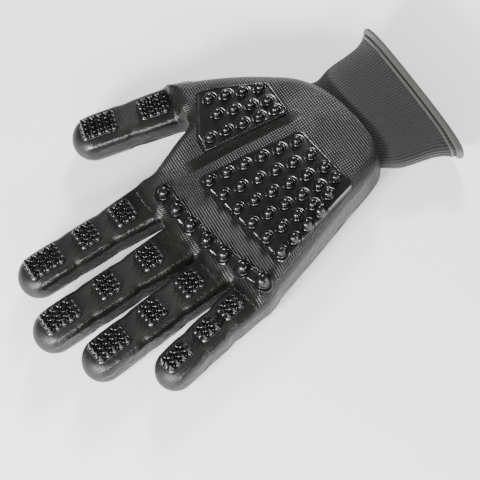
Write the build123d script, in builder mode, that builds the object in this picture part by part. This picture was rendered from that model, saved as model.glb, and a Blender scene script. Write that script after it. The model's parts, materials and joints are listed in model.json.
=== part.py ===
from build123d import *

# Right-hand pet grooming glove: knit liner, dipped rubber coat, moulded nub pads and rib cuff.
#
# The glove lies on its back. +Y points to the fingertips, +X to the thumb, +Z out of the palm side.
# All sizes are in millimetres. The glove is laid out about the middle of the palm and then moved, as a
# whole, so that the origin is under the centre of its bounding box, on the surface it lies on.
#
# A real glove is one skin that creases wherever a finger bends. Here the skin is cut at each crease, so
# every finger is a chain of stiff sleeves. Each fold runs across the palm-side skin, where a bent glove
# creases, so the sleeves part on the back of the hand and never meet on the palm side.

import os
from dataclasses import dataclass
from math import atan2, cos, degrees, radians, sin, sqrt

# Fabric and rubber thicknesses
KNIT = 1.2  # knitted liner of the hand
RIB = 1.5  # thicker rib knit of the cuff
COAT = 0.6  # dipped rubber coat
PAD = 1.0  # base plate of every moulded pad
BODY_GAP = 0.3  # between pieces that move past each other

# Finger sections: flat on the palm side, rounder on the back
FINGER_HEIGHT = 18.6
FINGER_TOP_RADIUS = 4.6
FINGER_BACK_RADIUS = 0.4301 * FINGER_HEIGHT
COAT_LOW = 6.0  # away from the tips, the coat stops this far above the back of the glove
TIP_TOP_RADIUS = 0.4086 * FINGER_HEIGHT  # side view of a fingertip, palm side
TIP_BACK_RADIUS = 0.4624 * FINGER_HEIGHT  # side view of a fingertip, back

# Hand body
PALM_HEIGHT = 25.0  # thickness at its crest
PALM_CREST = 68.0  # the crest lies this far behind the middle finger's fold
PALM_EDGE_RADIUS = 8.0
WRIST_Y = -80.0
RUN_OUT = 16.0  # the hand body is drawn this much past the wrist and the fingers' folds, and then cut off
WRIST_SIDES = (0.9, 65.0)  # x of the hand body's sides at the end of the wrist's run-out
THUMB_SIDE = [(66.5, -70.0), (81.0, -50.0), (92.5, -31.0)]  # outer edge of the thumb's base
WEB = [(71.5, -9.0), (59.5, 18.0)]  # between the thumb and the index finger
WEB_RADIUS = 6.0
OUTLINE_RADIUS = 12.0
COAT_EDGE = [(-14.0, -79.5), (32.0, -78.5), (78.0, -64.0)]  # the coat's curved edge at the wrist

# Cuff: (y, centre x, width, height) of each section, from the wrist to the hem
CUFF_SECTIONS = [
    (-80.5, 30.0, 63.0, 16.0),
    (-90.0, 28.0, 72.0, 18.5),
    (-106.0, 27.0, 78.0, 20.0),
    (-118.0, 26.5, 92.0, 22.0),
]
CUFF_LIFT = 2.0  # the cuff's wrist end lies this much higher than its hem end
CUFF_ROUND = 0.46  # corner radius as a share of the section's height
HEM_RADIUS = 1.9
ELASTIC_COUNT = 6
ELASTIC_WIDTH = 1.2
ELASTIC_THICKNESS = 0.7
ELASTIC_EASE = 0.15  # between an elastic and the rib it lies against
ELASTIC_MARGIN = (6.0, 14.0)  # from the wrist end and from the hem end

# Spiked pads on the fingers
SPIKE_HEIGHT = 3.6
SPIKE_RADIUS = 1.45
SPIKE_TIP_RADIUS = 0.3
SPIKE_PITCH_ALONG = 3.9
SPIKE_PITCH_ACROSS = 3.1
SPIKE_MARGIN = 2.1  # from the outermost spike's centre to the pad's edge
SPIKE_PAD_RADIUS = 2.0

# Pads with round nubs: on the palm, on the thumb's base and along the knuckles
NUB_SHOULDER = 0.8  # height of a nub's dome as a share of its radius
NUB_COLLAR = 0.7  # height of the collar at a nub's foot
NUB_FOOT_EXTRA = 0.7  # the collar is this much wider than the nub
PALM_NUB = (4.0, 2.5)  # height and radius
PALM_PAD_OUTLINE = [(38.5, 3.0), (31.5, -56.5), (-11.5, -61.0), (-29.5, -8.5)]
PALM_ROWS = [6, 6, 6, 6, 5, 4]  # nubs in each row, from the thumb's side
PALM_ROW_STARTS = ((33.0, -2.5), (-23.5, -12.0))  # first nub of the first row and of the last
PALM_ROW_STEPS = ((-1.3, -9.6), (2.6, -9.2))  # from nub to nub in the first row and in the last
THUMB_PAD_OUTLINE = [(84.0, -22.0), (80.5, -33.0), (67.5, -57.0), (44.0, -57.0), (49.0, -8.5), (60.0, -9.5)]
THUMB_ROWS = [(4, (76.0, -26.0), (-3.2, -8.4)), (4, (65.0, -25.0), (-2.7, -8.5)), (5, (54.8, -15.0), (-1.3, -9.0))]
PAD_CORNER_RADIUS = 3.0
STRIP_NUB = (4.2, 3.2)
STRIP_ENDS = ((42.0, 20.5), (-31.0, 3.0))
STRIP_BOW = 3.4  # how far the strip bows towards the fingertips at its middle
STRIP_NUBS = 7
STRIP_WIDTH = 9.6  # at each nub's scallop
STRIP_WAIST = 7.6  # between the scallops

REACH = 400.0  # longer than anything in the glove, for cutting


@dataclass
class Finger:
    """A finger or the thumb: where it leaves the hand, which way it points and how long its parts are."""

    name: str
    root: tuple  # x and y of the middle of its fold at the hand
    turn: float  # degrees from +Y towards the little finger's side
    root_width: float
    width: float
    lengths: list  # of its parts, from the hand to the tip
    parts: list  # their names
    pads: list  # middle of each part's pad, along the part
    spikes: list  # spikes (along, across) on each pad

    def direction(self):
        return Vector(-sin(radians(self.turn)), cos(radians(self.turn)), 0)

    def across(self):
        return Vector(cos(radians(self.turn)), sin(radians(self.turn)), 0)

    def point(self, along, side=0.0, height=0.0):
        """The point that lies a distance along the finger, to its side and above the table."""
        return Vector(*self.root, height) + self.direction() * along + self.across() * side

    def start(self, index):
        """Distance from the root to the fold where a part begins."""
        return sum(self.lengths[:index])

    def width_at(self, index, along):
        """The first part narrows from the root, and the others keep the finger's width."""
        if index:
            return self.width
        return self.root_width + (self.width - self.root_width) * along / self.lengths[0]

    def section_plane(self, along):
        return Plane(origin=self.point(along), x_dir=-self.across(), z_dir=self.direction())

    def plan_plane(self, along=0.0, height=0.0):
        return Plane(origin=self.point(along, 0, height), x_dir=self.direction(), z_dir=(0, 0, 1))

    def side_plane(self):
        return Plane(origin=self.point(0), x_dir=self.direction(), z_dir=self.across())


THREE = ["base", "middle", "tip"]
LONG_PADS = [(3, 4), (3, 4), (5, 4)]
FINGERS = [
    Finger("index", (46.2, 31.0), 2.4, 23.4, 20.5, [23.0, 23.0, 29.0], THREE, [12.0, 10.6, 13.0], LONG_PADS),
    Finger("middle", (16.2, 29.0), 4.1, 23.0, 20.5, [27.0, 27.0, 30.0], THREE, [14.5, 13.0, 13.6], LONG_PADS),
    Finger("ring", (-7.8, 22.5), 8.0, 21.2, 20.0, [22.0, 24.0, 31.0], THREE, [11.0, 12.0, 14.4], LONG_PADS),
    Finger("little", (-30.4, 14.5), 14.0, 19.8, 18.4, [16.5, 16.5, 24.5], THREE, [8.8, 8.0, 11.5],
           [(3, 3), (3, 3), (4, 3)]),
]
THUMB = Finger("thumb", (92.1, -11.0), -12.3, 23.0, 22.0, [25.5, 32.0], ["base", "tip"], [11.0, 16.0],
               [(4, 4), (5, 4)])

FOLD_HEIGHT = FINGER_HEIGHT + COAT  # every finger folds about a line across its palm-side skin
KNUCKLE_TURN = atan2(FINGERS[0].root[1] - FINGERS[-1].root[1], FINGERS[0].root[0] - FINGERS[-1].root[0])
CREST_RADIUS = (PALM_CREST**2 + (PALM_HEIGHT - FINGER_HEIGHT) ** 2) / (2 * (PALM_HEIGHT - FINGER_HEIGHT))


def lerp(a, b, share):
    return tuple(p + (q - p) * share for p, q in zip(a, b))


# ---------------------------------------------------------------- hand body


def behind_fold(x, y):
    """Distance from a place on the palm to the middle finger's fold, square to the knuckle line."""
    root = FINGERS[1].root
    return (x - root[0]) * sin(KNUCKLE_TURN) - (y - root[1]) * cos(KNUCKLE_TURN)


def palm_top(x, y, grow=0.0):
    """Height of the palm's upper surface, moved out by grow."""
    drop = sqrt((CREST_RADIUS + grow) ** 2 - (behind_fold(x, y) - PALM_CREST) ** 2)
    return PALM_HEIGHT - CREST_RADIUS + drop


def crest_cylinder(grow):
    """The cylinder whose top is the palm's upper surface, moved out by grow."""
    root = FINGERS[1].root
    knuckles = Vector(cos(KNUCKLE_TURN), sin(KNUCKLE_TURN), 0)
    back = Vector(sin(KNUCKLE_TURN), -cos(KNUCKLE_TURN), 0)
    centre = Vector(*root, PALM_HEIGHT - CREST_RADIUS) + back * PALM_CREST
    with BuildPart() as crest:
        with BuildSketch(Plane(origin=centre, x_dir=back, z_dir=knuckles)):
            Circle(CREST_RADIUS + grow)
        extrude(amount=REACH, both=True)
    return crest.part


def hand_plan(grow):
    """Plan of the hand body with rounded corners, run out past the wrist and every fold, moved out by grow."""
    half = THUMB.root_width / 2
    first, last = FINGERS[0], FINGERS[-1]
    index_end = first.point(RUN_OUT, first.root_width / 2)
    little_side = [last.point(RUN_OUT, -last.root_width / 2), last.point(0, -last.root_width / 2)]
    wrist = [(x, WRIST_Y - RUN_OUT) for x in WRIST_SIDES]
    thumb_ends = [THUMB.point(RUN_OUT, half), THUMB.point(RUN_OUT, -half)]
    hollow = Vertex(*WEB[0], 0)
    with BuildSketch() as plan:
        with BuildLine():
            Polyline(index_end, *little_side, *wrist, *THUMB_SIDE, *thumb_ends, *WEB, close=True)
        make_face()
        fillet(plan.vertices().sort_by_distance(hollow)[0], WEB_RADIUS)
        for end in thumb_ends:
            fillet(plan.vertices().sort_by_distance(end)[0], half - BODY_GAP)
        for corner in [index_end, *little_side, *wrist, *THUMB_SIDE, WEB[1]]:
            fillet(plan.vertices().sort_by_distance(corner)[0], OUTLINE_RADIUS)
        if grow:
            offset(amount=grow, kind=Kind.INTERSECTION, mode=Mode.REPLACE)
    return plan.sketch


def hand_core(grow):
    """Solid pillow of the hand body with its run-outs, every side moved out by grow."""
    with BuildPart() as core:
        with BuildSketch(Plane.XY.offset(-grow)):
            add(hand_plan(grow))
        extrude(amount=PALM_HEIGHT * 2)
        add(crest_cylinder(grow), mode=Mode.INTERSECT)
        faces = core.faces().sort_by(Axis.Z)
        fillet(faces[0].edges() + faces[-1].edges(), PALM_EDGE_RADIUS + grow)
    return core.part


def beyond_folds(back=0.0):
    """The space past every finger's fold, where the hand body ends, moved back towards the wrist by back."""
    clear = COAT + BODY_GAP
    sides = [(finger, side * (finger.root_width / 2 + clear)) for finger in FINGERS for side in (1, -1)]
    corners = [finger.point(-back, side) for finger, side in sides]
    first, last = sides[0], sides[-1]
    right = first[0].point(-back, first[1] + RUN_OUT)
    left = last[0].point(-back, last[1] - RUN_OUT)
    ahead = Vector(0, PALM_CREST, 0)
    with BuildPart() as space:
        with BuildSketch(Plane.XY.offset(-PALM_HEIGHT)):
            with BuildLine():
                Polyline(right, *corners, left, left + ahead, right + ahead, close=True)
            make_face()
        with BuildSketch(THUMB.plan_plane(-back, -PALM_HEIGHT)):
            Rectangle(2 * RUN_OUT, THUMB.root_width * 2, align=(Align.MIN, Align.CENTER))
        extrude(amount=PALM_HEIGHT * 3)
    return space.part


def build_palm_liner():
    """Knit of the hand: open at the wrist, with a front wall that opens into each finger and the thumb."""
    with BuildPart() as hollow:
        add(hand_core(-KNIT))
        add(beyond_folds(KNIT), mode=Mode.SUBTRACT)
        for finger in [*FINGERS, THUMB]:
            add(finger_core(finger, 0, -3 * KNIT, KNIT, -KNIT, KNIT))
    with BuildPart() as palm_liner:
        add(hand_core(0))
        add(beyond_folds(), mode=Mode.SUBTRACT)
        add(hollow.part, mode=Mode.SUBTRACT)
        split(bisect_by=Plane.XZ.offset(-WRIST_Y), keep=Keep.BOTTOM)
    return palm_liner.part


def build_palm_coat():
    """Rubber skin on the palm side and round the hand's edges, ending in a curve at the wrist."""
    with BuildPart() as palm_coat:
        add(hand_core(COAT))
        add(beyond_folds(), mode=Mode.SUBTRACT)
        add(hand_core(0), mode=Mode.SUBTRACT)
        with BuildSketch(Plane.XY.offset(COAT_LOW)):
            with BuildLine():
                edge = ThreePointArc(*COAT_EDGE)
                Polyline(edge @ 1, (REACH, 0), (0, REACH), (-REACH, 0), edge @ 0)
            make_face()
        extrude(amount=PALM_HEIGHT * 2, mode=Mode.INTERSECT)
    return palm_coat.part


# ---------------------------------------------------------------- pads with round nubs


def nub(height, radius):
    """One round nub with a collar at its foot, standing on z = 0 and running on below it into its pad."""
    foot = radius + NUB_FOOT_EXTRA
    sink = -PALM_EDGE_RADIUS / 2
    rise = NUB_SHOULDER * radius
    dome_radius = (radius**2 + rise**2) / (2 * rise)
    with BuildPart() as post:
        with BuildSketch(Plane.XZ):
            with BuildLine():
                side = Polyline((0, sink), (foot, sink), (foot, 0), (radius, NUB_COLLAR), (radius, height - rise))
                dome = RadiusArc(side @ 1, (0, height), -dome_radius)
                Line(dome @ 1, side @ 0)
            make_face()
        revolve(axis=Axis.Z)
    return post.part


def build_nub_pad(plan, places, height, radius):
    """Moulded pad that follows the palm's curve, with a round nub at each place."""
    with BuildPart() as pad:
        with BuildSketch(Plane.XY.offset(FOLD_HEIGHT / 2)):
            add(plan)
        extrude(amount=PALM_HEIGHT)
        add(crest_cylinder(COAT + PAD), mode=Mode.INTERSECT)
        add(hand_core(COAT), mode=Mode.SUBTRACT)
        with Locations([(x, y, palm_top(x, y, COAT + PAD)) for x, y in places]):
            add(nub(height, radius))
        add(hand_core(COAT), mode=Mode.SUBTRACT)
    return pad.part


def rounded_outline(points):
    with BuildSketch() as outline:
        with BuildLine():
            FilletPolyline(*points, radius=PAD_CORNER_RADIUS, close=True)
        make_face()
    return outline.sketch


def row_places(start, step, count):
    return [(start[0] + step[0] * n, start[1] + step[1] * n) for n in range(count)]


def palm_nub_places():
    """Nub centres on the palm pad: the rows turn towards the little finger's side of the hand."""
    places = []
    for row, count in enumerate(PALM_ROWS):
        share = row / (len(PALM_ROWS) - 1)
        places += row_places(lerp(*PALM_ROW_STARTS, share), lerp(*PALM_ROW_STEPS, share**3), count)
    return places


def thumb_nub_places():
    """Nub centres on the pad at the thumb's base."""
    return [place for count, start, step in THUMB_ROWS for place in row_places(start, step, count)]


def strip_place(share):
    """A point along the knuckle strip's bowed middle line, from the index finger's side."""
    x, y = lerp(*STRIP_ENDS, share)
    return x, y + STRIP_BOW * 4 * share * (1 - share)


def strip_nub_places():
    return [strip_place(n / (STRIP_NUBS - 1)) for n in range(STRIP_NUBS)]


def strip_plan():
    """Plan of the knuckle strip: a bowed band with a scallop round each nub."""
    with BuildSketch() as plan:
        with BuildLine():
            ThreePointArc(strip_place(0), strip_place(0.5), strip_place(1))
        trace(line_width=STRIP_WAIST)
        with Locations(strip_nub_places()):
            Circle(STRIP_WIDTH / 2)
    return plan.sketch


# ---------------------------------------------------------------- fingers


def finger_section(width, grow, bottom):
    """Section of a finger: sides and top moved out by grow, underside at bottom."""
    top = FINGER_HEIGHT + grow
    with BuildSketch() as section:
        with Locations((0, (bottom + top) / 2)):
            Rectangle(width + 2 * grow, top - bottom)
        fillet(section.vertices().group_by(Axis.Y)[-1], FINGER_TOP_RADIUS + grow)
        fillet(section.vertices().group_by(Axis.Y)[0], FINGER_BACK_RADIUS + grow)
    return section.sketch


def finger_core(finger, index, start, end, grow, bottom):
    """Solid of a stretch of one part of a finger, open at both ends."""
    with BuildPart() as core:
        for along in (start, end):
            with BuildSketch(finger.section_plane(along)):
                add(finger_section(finger.width_at(index, along), grow, bottom))
        loft(ruled=True)
    return core.part


def tip_core(finger, start, grow, bottom):
    """Solid of a finger's last part, rounded at its end in plan and from the side."""
    top = FINGER_HEIGHT + grow
    half = finger.width / 2 + grow
    end = finger.start(len(finger.lengths)) + grow
    with BuildPart() as core:
        add(finger_core(finger, len(finger.lengths) - 1, start, end, grow, bottom))
        with BuildSketch(finger.plan_plane(start)):
            Rectangle(end - half - start, 2 * half, align=(Align.MIN, Align.CENTER))
            with Locations((end - half - start, 0)):
                Circle(half)
        extrude(amount=PALM_HEIGHT * 2, mode=Mode.INTERSECT)
        with BuildSketch(finger.side_plane()) as side:
            with Locations((start, bottom)):
                Rectangle(end - start, top - bottom, align=(Align.MIN, Align.MIN))
            far = side.vertices().group_by(Axis.X)[-1].sort_by(Axis.Y)
            fillet(far[0], TIP_BACK_RADIUS + grow)
            fillet(far[1], TIP_TOP_RADIUS + grow)
        extrude(amount=finger.width, both=True, mode=Mode.INTERSECT)
    return core.part


def sleeve(finger, index, outer, inner):
    """Skin of one part of a finger between two offsets. A tip's is closed and lies flat on its outer side."""
    start = finger.start(index) + (BODY_GAP if index == 0 else BODY_GAP / 2)
    if index == len(finger.lengths) - 1:
        outer_bottom = COAT - outer
        with BuildPart() as skin:
            add(tip_core(finger, start, outer, outer_bottom))
            add(tip_core(finger, start - 1, inner, outer_bottom + outer - inner), mode=Mode.SUBTRACT)
        return skin.part
    end = finger.start(index + 1) - BODY_GAP / 2
    with BuildPart() as skin:
        add(finger_core(finger, index, start, end, outer, -outer))
        add(finger_core(finger, index, start - 1, end + 1, inner, -inner), mode=Mode.SUBTRACT)
    return skin.part


def build_finger_coat(finger, index):
    """Rubber skin of one part of a finger: all round a tip, and on the palm side and sides elsewhere."""
    with BuildPart() as coat:
        add(sleeve(finger, index, COAT, 0))
        if index < len(finger.lengths) - 1:
            split(bisect_by=Plane.XY.offset(COAT_LOW), keep=Keep.TOP)
    return coat.part


def build_spiked_pad(finger, index):
    """Moulded pad of one part of a finger: a rounded plate with rows of pointed spikes."""
    along, across = finger.spikes[index]
    length = (along - 1) * SPIKE_PITCH_ALONG + 2 * SPIKE_MARGIN
    width = (across - 1) * SPIKE_PITCH_ACROSS + 2 * SPIKE_MARGIN
    skin = finger.plan_plane(finger.start(index) + finger.pads[index], FOLD_HEIGHT)
    taper = degrees(atan2(SPIKE_RADIUS - SPIKE_TIP_RADIUS, SPIKE_HEIGHT))
    with BuildPart() as pad:
        with BuildSketch(skin):
            RectangleRounded(length, width, SPIKE_PAD_RADIUS)
        extrude(amount=PAD)
        with BuildSketch(skin.offset(PAD)):
            with GridLocations(SPIKE_PITCH_ALONG, SPIKE_PITCH_ACROSS, along, across):
                Circle(SPIKE_RADIUS)
        extrude(amount=SPIKE_HEIGHT, taper=taper)
    return pad.part


# ---------------------------------------------------------------- cuff


def cuff_at(y):
    """Centre x, width, height and centre z of the cuff's section at y."""
    pairs = zip(CUFF_SECTIONS, CUFF_SECTIONS[1:])
    near, far = next(pair for pair in pairs if y >= pair[1][0])
    centre, width, height = lerp(near[1:], far[1:], (near[0] - y) / (near[0] - far[0]))
    first_y, last_y = CUFF_SECTIONS[0][0], CUFF_SECTIONS[-1][0]
    lift = HEM_RADIUS - RIB / 2 + CUFF_LIFT * (y - last_y) / (first_y - last_y)
    return centre, width, height, lift + height / 2


def cuff_plane(y):
    """Section plane of the cuff at y: x to the thumb's side and y up."""
    return Plane(origin=(0, y, 0), x_dir=(1, 0, 0), z_dir=(0, -1, 0))


def cuff_section(y, inset):
    """The cuff's rounded section at y, with every side moved in by inset."""
    centre, width, height, middle = cuff_at(y)
    with BuildSketch() as section:
        with Locations((centre, middle)):
            RectangleRounded(width - 2 * inset, height - 2 * inset, height * CUFF_ROUND - inset)
    return section.sketch


def cuff_core(inset):
    with BuildPart() as core:
        for y, *_ in CUFF_SECTIONS:
            with BuildSketch(cuff_plane(y)):
                add(cuff_section(y, inset))
        loft(ruled=True)
    return core.part


def build_cuff():
    """Rib-knit cuff: a tube that flares to the hem."""
    with BuildPart() as cuff:
        add(cuff_core(0))
        add(cuff_core(RIB), mode=Mode.SUBTRACT)
    return cuff.part


def build_elastic():
    """Elastic threads laid round the inside of the rib, as separate rings."""
    first = CUFF_SECTIONS[0][0] - ELASTIC_MARGIN[0]
    last = CUFF_SECTIONS[-1][0] + ELASTIC_MARGIN[1]
    with BuildPart() as elastic:
        for n in range(ELASTIC_COUNT):
            y = first + (last - first) * n / (ELASTIC_COUNT - 1)
            with BuildSketch(cuff_plane(y)):
                add(cuff_section(y, RIB + ELASTIC_EASE))
                add(cuff_section(y, RIB + ELASTIC_EASE + ELASTIC_THICKNESS), mode=Mode.SUBTRACT)
            extrude(amount=ELASTIC_WIDTH)
    return elastic.part


def build_hem():
    """Overlocked hem: a rolled binding round the cuff's open edge."""
    y = CUFF_SECTIONS[-1][0]
    rim = (cuff_plane(y) * cuff_section(y, RIB / 2)).face().outer_wire()
    with BuildPart() as hem:
        with BuildSketch(Plane(origin=rim @ 0, z_dir=rim % 0)):
            Circle(HEM_RADIUS)
        sweep(path=rim)
        add(build_cuff(), mode=Mode.SUBTRACT)
    return hem.part


# ---------------------------------------------------------------- all the pieces


def build_pieces():
    """Every piece of the glove by name, where it was laid out."""
    pieces = {
        "palm_liner": build_palm_liner(),
        "palm_coat": build_palm_coat(),
        "palm_pad": build_nub_pad(rounded_outline(PALM_PAD_OUTLINE), palm_nub_places(), *PALM_NUB),
        "thumb_heel_pad": build_nub_pad(rounded_outline(THUMB_PAD_OUTLINE), thumb_nub_places(), *PALM_NUB),
        "knuckle_strip": build_nub_pad(strip_plan(), strip_nub_places(), *STRIP_NUB),
        "cuff_rib": build_cuff(),
        "cuff_elastic": build_elastic(),
        "cuff_hem": build_hem(),
    }
    for finger in [*FINGERS, THUMB]:
        for index, part in enumerate(finger.parts):
            name = f"{finger.name}_{part}"
            pieces[f"{name}_liner"] = sleeve(finger, index, 0, -KNIT)
            pieces[f"{name}_coat"] = build_finger_coat(finger, index)
            pieces[f"{name}_pad"] = build_spiked_pad(finger, index)
    return pieces


pieces = build_pieces()
box = Compound(list(pieces.values())).bounding_box()
origin = Vector((box.min.X + box.max.X) / 2, (box.min.Y + box.max.Y) / 2, box.min.Z)

os.makedirs("parts", exist_ok=True)
for name, piece in pieces.items():
    piece = piece.moved(Location(-origin))
    piece.label = name
    export_step(piece, f"parts/{name}.step")
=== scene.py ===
import json
from math import atan2, cos, hypot, pi, sin

import bpy
import numpy as np
from mathutils import Matrix, Vector


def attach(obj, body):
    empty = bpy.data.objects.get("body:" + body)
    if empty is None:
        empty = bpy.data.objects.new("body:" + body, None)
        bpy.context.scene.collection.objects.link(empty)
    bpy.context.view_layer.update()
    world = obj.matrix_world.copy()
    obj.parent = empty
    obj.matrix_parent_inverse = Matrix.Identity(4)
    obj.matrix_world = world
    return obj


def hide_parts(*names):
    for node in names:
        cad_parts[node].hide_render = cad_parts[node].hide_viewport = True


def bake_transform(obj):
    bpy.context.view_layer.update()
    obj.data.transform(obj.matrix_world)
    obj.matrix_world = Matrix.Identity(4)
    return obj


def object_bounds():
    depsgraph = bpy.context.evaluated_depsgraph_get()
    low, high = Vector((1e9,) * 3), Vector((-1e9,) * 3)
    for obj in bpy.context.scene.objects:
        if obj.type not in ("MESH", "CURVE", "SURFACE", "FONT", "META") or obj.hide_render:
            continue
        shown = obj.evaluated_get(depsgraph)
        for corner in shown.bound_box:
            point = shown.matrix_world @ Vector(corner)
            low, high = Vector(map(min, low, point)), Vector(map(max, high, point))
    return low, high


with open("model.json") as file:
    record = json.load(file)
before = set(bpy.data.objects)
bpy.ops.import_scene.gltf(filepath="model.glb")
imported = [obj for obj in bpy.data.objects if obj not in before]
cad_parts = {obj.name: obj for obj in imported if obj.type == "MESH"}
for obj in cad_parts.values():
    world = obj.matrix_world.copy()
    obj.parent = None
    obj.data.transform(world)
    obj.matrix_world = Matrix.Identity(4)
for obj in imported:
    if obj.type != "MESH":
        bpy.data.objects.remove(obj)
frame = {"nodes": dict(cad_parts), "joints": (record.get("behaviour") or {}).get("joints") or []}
cad_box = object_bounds()

# ---------------------------------------------------------------- The hand's skin
# One seamless knitted nylon glove, dipped palm side down in liquid rubber. The rubber covers the palm
# side, the edges of the hand and the whole of every fingertip, and the knit is bare on the back.
# The skin is cast as one surface and then parted at the places where it doesn't bend.

MM = 0.001
SKIN_STEP = 0.9  # spacing of the casting grid
PALM_ROUND = 8.0  # rounding of the hand's edges
WRIST_ROUND = 3.0  # sharper rim where the coat ends at the wrist
FINGER_TOP_ROUND = 5.6
FINGER_BACK_ROUND = 8.0
CROTCH_ROUND = 3.2  # softness of the joint between a finger and the palm
TIP_SPAN = 9.0  # how far past a fold a skin part's span reaches; the skin is cut midway to the next span
NAMES = ["index", "middle", "ring", "little", "thumb"]
PARTS = {name: ["base", "middle", "tip"] for name in NAMES[:4]} | {"thumb": ["base", "tip"]}


class FingerLine:
    """A finger's middle line in the plan, with its folds, read from the hinges."""

    def __init__(self, name):
        joints = {j["name"]: j for j in frame["joints"]}
        folds = [joints[f"{name}_{part}_fold"] for part in PARTS[name]]
        self.name = name
        self.across = np.array(folds[0]["axis"][:2])
        self.direction = np.array([-self.across[1], self.across[0]])
        self.root = np.array(folds[0]["pos_m"][:2]) / MM
        self.fold_height = folds[0]["pos_m"][2] / MM
        self.folds = [float((np.array(j["pos_m"][:2]) / MM - self.root) @ self.direction) for j in folds]
        self.length = self.span(f"{name}_tip_coat", self.direction)[1]
        self.half = self.span(f"{name}_tip_coat", self.across)[1]
        self.root_half = self.span(f"{name}_base_coat", self.across)[1]
        self.pads = [self.span(f"{name}_{part}_pad", self.direction) for part in PARTS[name]]

    def span(self, node, direction):
        """Where a CAD node starts and ends along a direction from the finger's root."""
        points = np.array([v.co[:2] for v in frame["nodes"][node].data.vertices]) / MM
        run = (points - self.root) @ direction
        return float(run.min()), float(run.max())

    def local(self, x, y):
        """Across and along the finger, for places in the plan."""
        dx, dy = x - self.root[0], y - self.root[1]
        return dx * self.across[0] + dy * self.across[1], dx * self.direction[0] + dy * self.direction[1]

    def place(self, along):
        """A place on the middle line, at the back of the glove."""
        point = self.root + self.direction * along
        return np.array([point[0], point[1], 0.0])


LINES = [FingerLine(name) for name in NAMES]
FOLD = LINES[0].fold_height  # height of the palm-side skin of the fingers
FINGER_TOP = FOLD - 0.35  # the skin between the pads lies a little under the folds' height
FINGER_PINCH = 0.55  # how much narrower a finger is at a fold, on each side
TIP_RUN = 16.0  # length over which a fingertip slopes off
TIP_DROP, TIP_LIFT = 2.2, 1.2  # how far its two faces slope
ZERO = LINES[1].root - np.array([16.2, 29.0])  # the hand plan's zero, from the middle finger's fold

# The hand's edge in its own plan, from the index finger round the little finger's side to the thumb
HAND_EDGE = [
    (57.4, 28.0), (46.0, 30.5), (33.6, 27.6), (16.0, 28.5), (8.8, 23.4), (-8.0, 21.5), (-17.0, 16.0),
    (-30.0, 13.0), (-38.8, 9.0), (-36.4, 0.5), (-29.3, -19.0), (-22.3, -37.0), (-15.0, -55.0),
    (-9.5, -69.5), (-3.6, -79.5), (8.0, -84.4), (26.0, -84.6), (44.0, -81.6), (58.5, -75.5),
    (69.5, -66.8), (79.5, -53.5), (88.0, -39.5), (95.2, -25.5), (100.8, -15.0), (101.5, -11.5),
    (92.0, -10.0), (81.8, -9.5), (76.4, -11.6), (71.2, -8.4), (67.4, 0.2), (62.8, 10.2), (58.9, 19.6),
]


def smooth_loop(points, steps=6):
    """A closed curve through points, as (n, 2) places."""
    p = np.array(points, float)
    a, b, c, d = np.roll(p, 1, 0), p, np.roll(p, -1, 0), np.roll(p, -2, 0)
    loop = []
    for t in np.arange(steps) / steps:
        loop.append(0.5 * (2 * b + (c - a) * t + (2 * a - 5 * b + 4 * c - d) * t**2
                           + (3 * b - a - 3 * c + d) * t**3))
    return np.stack(loop, 1).reshape(-1, 2)


def outline_distance(loop, x, y):
    """Signed distance in the plan from a closed outline, negative inside it."""
    best = np.full(x.shape, 1e9)
    inside = np.zeros(x.shape, bool)
    for (ax, ay), (bx, by) in zip(loop, np.roll(loop, -1, 0)):
        ex, ey = bx - ax, by - ay
        t = np.clip(((x - ax) * ex + (y - ay) * ey) / max(ex * ex + ey * ey, 1e-9), 0, 1)
        best = np.minimum(best, (x - ax - t * ex) ** 2 + (y - ay - t * ey) ** 2)
        crosses = (ay > y) != (by > y)
        inside ^= crosses & (x < ax + (y - ay) * ex / (ey if abs(ey) > 1e-12 else 1e-12))
    return np.sqrt(best) * np.where(inside, -1, 1)


def soft_min(a, b, width):
    """The nearer of two distances, with the corner between them filled over width."""
    h = np.clip(0.5 + 0.5 * (b - a) / width, 0, 1)
    return b + (a - b) * h - width * h * (1 - h)


def groove(x, y, ends, width):
    """A valley of depth 1 along the line between two ends, fading out at both."""
    (ax, ay), (bx, by) = ends
    length = hypot(bx - ax, by - ay)
    ux, uy = (bx - ax) / length, (by - ay) / length
    run = ((x - ax) * ux + (y - ay) * uy) / length
    off = (x - ax) * -uy + (y - ay) * ux
    fade = np.clip(run * 4, 0, 1) * np.clip((1 - run) * 4, 0, 1)
    return np.exp(-((off / width) ** 2)) * fade


HAND_LOOP = smooth_loop(HAND_EDGE)
KNUCKLE_TURN = atan2(*(LINES[0].root - LINES[3].root)[::-1])
PALM_HEIGHT = 25.6
PALM_CREST = 68.0  # the palm is highest this far behind the middle finger's fold
THUMB_CREASE = ((46.5, 2.0), (41.5, -66.0))  # between the thumb's heel and the palm
CREASE_WIDTH, CREASE_DEPTH = 2.2, 0.35


def behind_fold(px, py):
    """Distance behind the middle finger's fold, square to the knuckles, in the hand's plan."""
    return (px - 16.2) * sin(KNUCKLE_TURN) - (py - 29.0) * cos(KNUCKLE_TURN)


def palm_height(px, py):
    """Height of the palm's skin away from its edges, in the hand's plan."""
    rise = (PALM_HEIGHT - FOLD) * (1 - ((behind_fold(px, py) - PALM_CREST) / PALM_CREST) ** 2)
    return FOLD + rise - CREASE_DEPTH * groove(px, py, THUMB_CREASE, CREASE_WIDTH)


def palm_distance(x, y, z):
    px, py = x - ZERO[0], y - ZERO[1]
    plan = outline_distance(HAND_LOOP, px[:, :, 0], py[:, :, 0])[:, :, None]
    top = palm_height(px, py)
    middle, half = top / 2, top / 2
    wrist = np.clip((-62 - py) / 20, 0, 1)
    round_at = PALM_ROUND - (PALM_ROUND - WRIST_ROUND) * wrist * (z > middle)
    u = plan + round_at
    v = np.abs(z - middle) - half + round_at
    return np.minimum(np.maximum(u, v), 0) + np.hypot(np.maximum(u, 0), np.maximum(v, 0)) - round_at


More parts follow.
